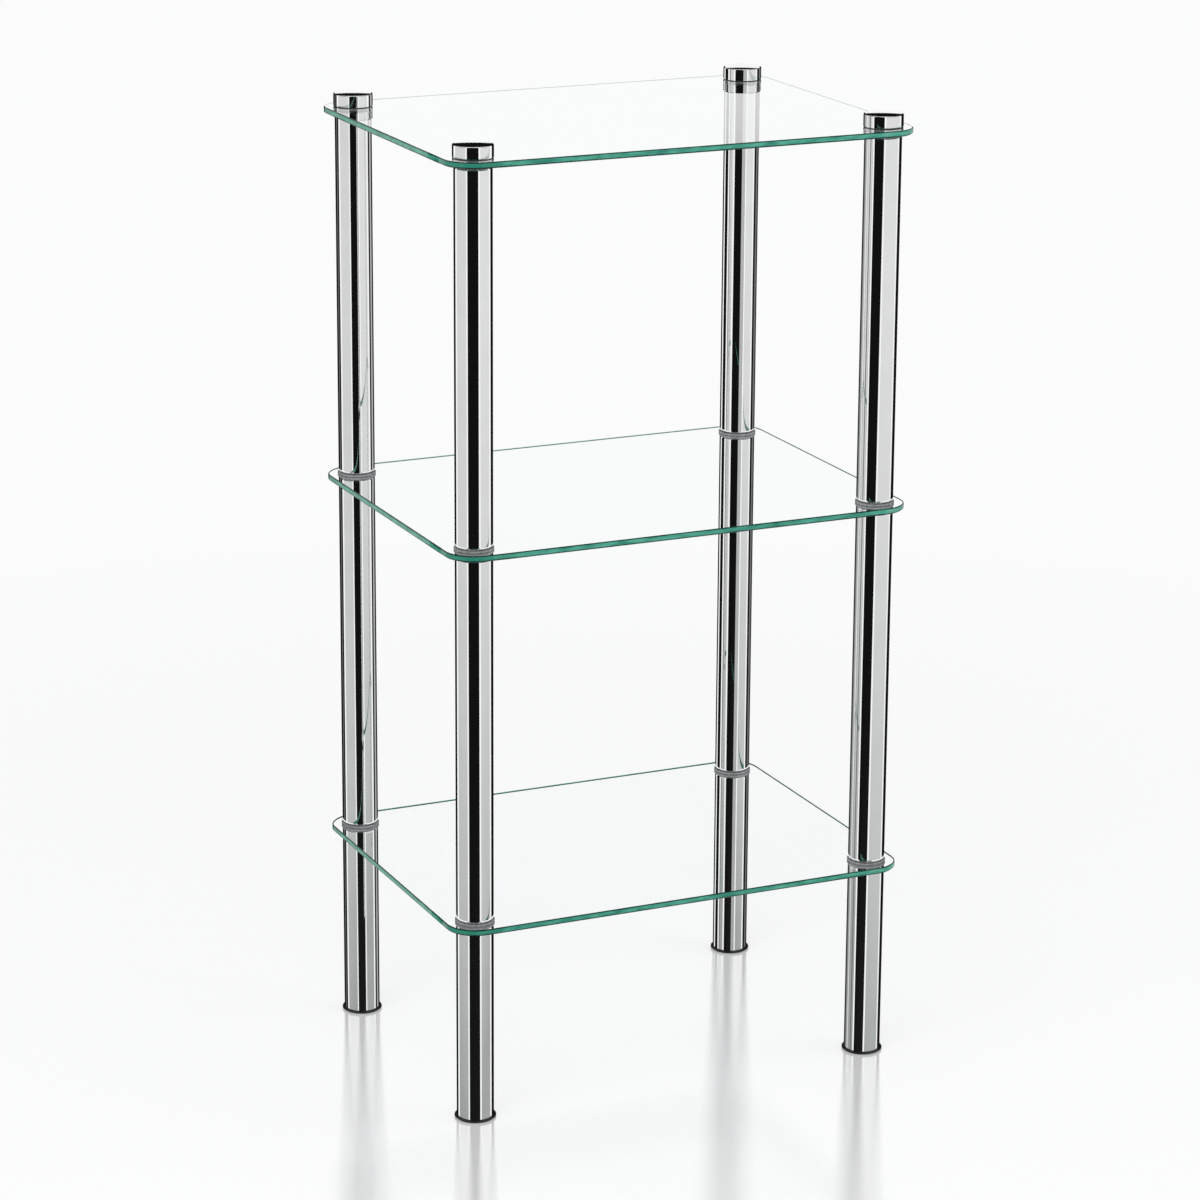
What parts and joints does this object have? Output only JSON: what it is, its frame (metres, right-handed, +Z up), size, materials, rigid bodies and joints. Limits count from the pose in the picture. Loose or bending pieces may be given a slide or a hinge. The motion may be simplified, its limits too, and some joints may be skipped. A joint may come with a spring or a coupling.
{
  "type": "glass shelving unit",
  "caption": "Free-standing open shelving unit: clear glass shelves with round corners, clamped between the stacked chromed tubes of round corner posts.",
  "frame": {"origin": "on the floor, in the middle of the unit's outline", "axes": "+Z up, X along the long side of the shelves, -Y towards the front"},
  "size_m": [0.4, 0.3, 0.7943],
  "materials": {
    "chrome": "polished chrome plating",
    "clear_glass": "clear toughened float glass with ground green edges",
    "grommet_grey": "soft translucent grey plastic, satin",
    "glide_black": "black moulded plastic with a fine grain",
    "insert_steel": "zinc plated, turned"
  },
  "bodies": {
    "root": {"front_left_foot_glide": "glide_black", "front_left_leg_tube": "chrome", "front_left_leg_tube_socket": "insert_steel", "front_left_lower_grommet": "grommet_grey", "front_left_middle_tube": "chrome", "front_left_middle_tube_stud_plug": "insert_steel", "front_left_middle_tube_socket": "insert_steel", "front_left_middle_grommet": "grommet_grey", "front_left_upper_tube": "chrome", "front_left_upper_tube_stud_plug": "insert_steel", "front_left_upper_tube_socket": "insert_steel", "front_left_top_grommet": "grommet_grey", "front_left_cap": "chrome", "front_left_cap_stud": "insert_steel", "front_right_foot_glide": "glide_black", "front_right_leg_tube": "chrome", "front_right_leg_tube_socket": "insert_steel", "front_right_lower_grommet": "grommet_grey", "front_right_middle_tube": "chrome", "front_right_middle_tube_stud_plug": "insert_steel", "front_right_middle_tube_socket": "insert_steel", "front_right_middle_grommet": "grommet_grey", "front_right_upper_tube": "chrome", "front_right_upper_tube_stud_plug": "insert_steel", "front_right_upper_tube_socket": "insert_steel", "front_right_top_grommet": "grommet_grey", "front_right_cap": "chrome", "front_right_cap_stud": "insert_steel", "back_left_foot_glide": "glide_black", "back_left_leg_tube": "chrome", "back_left_leg_tube_socket": "insert_steel", "back_left_lower_grommet": "grommet_grey", "back_left_middle_tube": "chrome", "back_left_middle_tube_stud_plug": "insert_steel", "back_left_middle_tube_socket": "insert_steel", "back_left_middle_grommet": "grommet_grey", "back_left_upper_tube": "chrome", "back_left_upper_tube_stud_plug": "insert_steel", "back_left_upper_tube_socket": "insert_steel", "back_left_top_grommet": "grommet_grey", "back_left_cap": "chrome", "back_left_cap_stud": "insert_steel", "back_right_foot_glide": "glide_black", "back_right_leg_tube": "chrome", "back_right_leg_tube_socket": "insert_steel", "back_right_lower_grommet": "grommet_grey", "back_right_middle_tube": "chrome", "back_right_middle_tube_stud_plug": "insert_steel", "back_right_middle_tube_socket": "insert_steel", "back_right_middle_grommet": "grommet_grey", "back_right_upper_tube": "chrome", "back_right_upper_tube_stud_plug": "insert_steel", "back_right_upper_tube_socket": "insert_steel", "back_right_top_grommet": "grommet_grey", "back_right_cap": "chrome", "back_right_cap_stud": "insert_steel", "lower_shelf": "clear_glass", "middle_shelf": "clear_glass", "top_shelf": "clear_glass"}
  },
  "joints": []
}
